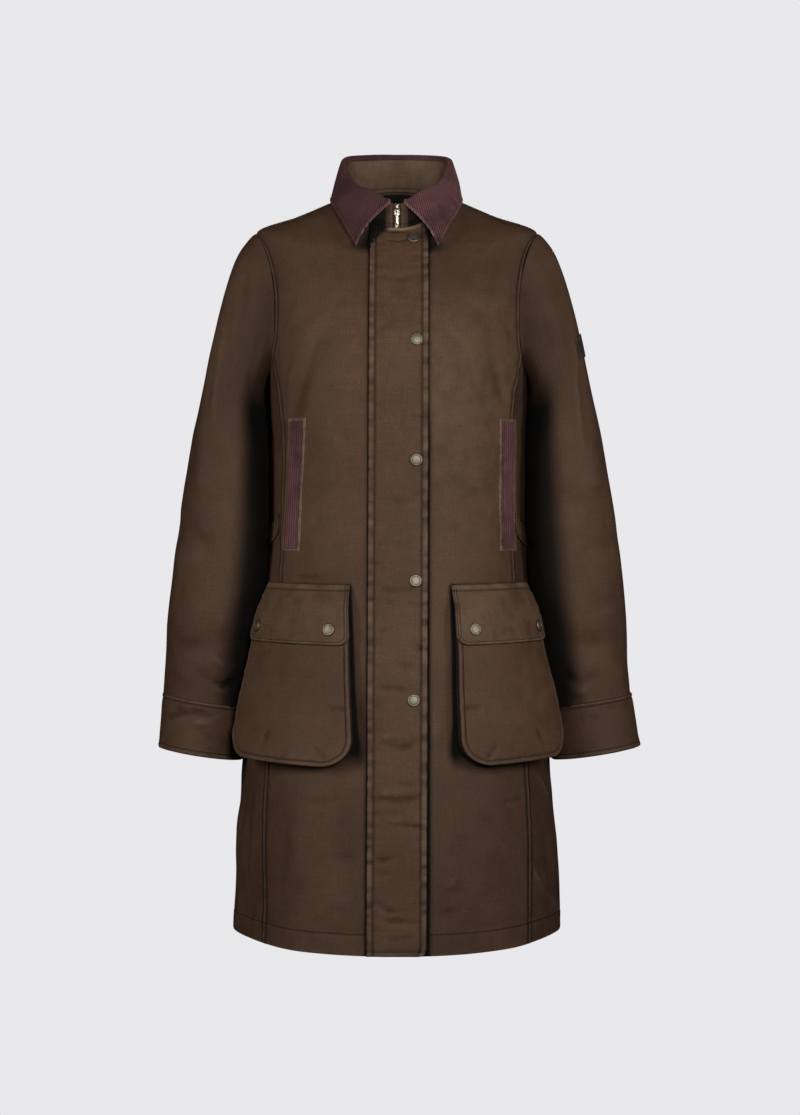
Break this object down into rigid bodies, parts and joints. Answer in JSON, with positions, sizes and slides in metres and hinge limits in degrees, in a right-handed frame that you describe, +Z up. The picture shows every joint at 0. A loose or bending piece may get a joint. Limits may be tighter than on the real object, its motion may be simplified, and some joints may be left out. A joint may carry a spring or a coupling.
{
  "type": "wax jacket",
  "caption": "Long waxed-cotton jacket worn open at neck, hem and cuffs, with corduroy collar, storm flap over a zip, snap caps, corduroy welts and bellows pockets",
  "frame": {"origin": "middle of the neck opening, at the height where the shoulders carry the jacket", "axes": "+Z up, the front faces -Y, +X is the wearer's left"},
  "size_m": [0.602, 0.32, 0.9842],
  "materials": {
    "waxed_cotton": "waxed, soft satin",
    "corduroy": "fine wale nap",
    "dark_lining": "plain",
    "antique_brass": "antique, worn",
    "zip_tape": "plain",
    "zip_metal": "bright",
    "patch": "plain"
  },
  "bodies": {
    "root": {"front_right": "waxed_cotton", "front_left": "waxed_cotton", "side_right": "waxed_cotton", "side_left": "waxed_cotton", "back": "waxed_cotton", "sleeve_top_right": "waxed_cotton", "sleeve_top_left": "waxed_cotton", "sleeve_under_right": "waxed_cotton", "sleeve_under_left": "waxed_cotton", "cuff_right": "waxed_cotton", "cuff_left": "waxed_cotton", "waist_strap_right": "waxed_cotton", "waist_strap_left": "waxed_cotton", "collar_stand": "waxed_cotton", "collar_fall": "corduroy", "neck_lining": "dark_lining", "storm_flap": "waxed_cotton", "zip": "zip_tape", "zip_slider": "zip_metal", "welt_right": "corduroy", "welt_left": "corduroy", "pocket_bag_right": "waxed_cotton", "pocket_bag_left": "waxed_cotton", "pocket_gusset_right": "waxed_cotton", "pocket_gusset_left": "waxed_cotton", "pocket_flap_right": "waxed_cotton", "pocket_flap_left": "waxed_cotton", "snap_1": "antique_brass", "snap_2": "antique_brass", "snap_3": "antique_brass", "snap_4": "antique_brass", "snap_5": "antique_brass", "pocket_snap_right_inner": "antique_brass", "pocket_snap_right_outer": "antique_brass", "pocket_snap_left_inner": "antique_brass", "pocket_snap_left_outer": "antique_brass", "sleeve_patch": "patch"},
    "pull": {"zip_pull": "zip_metal"}
  },
  "joints": [
    {"name": "pull_swing", "type": "hinge", "parent": "root", "child": "pull", "pos_m": [0, -0.0748, -0.0205], "axis": [-1, 0, 0], "range_deg": [0, 140]}
  ]
}
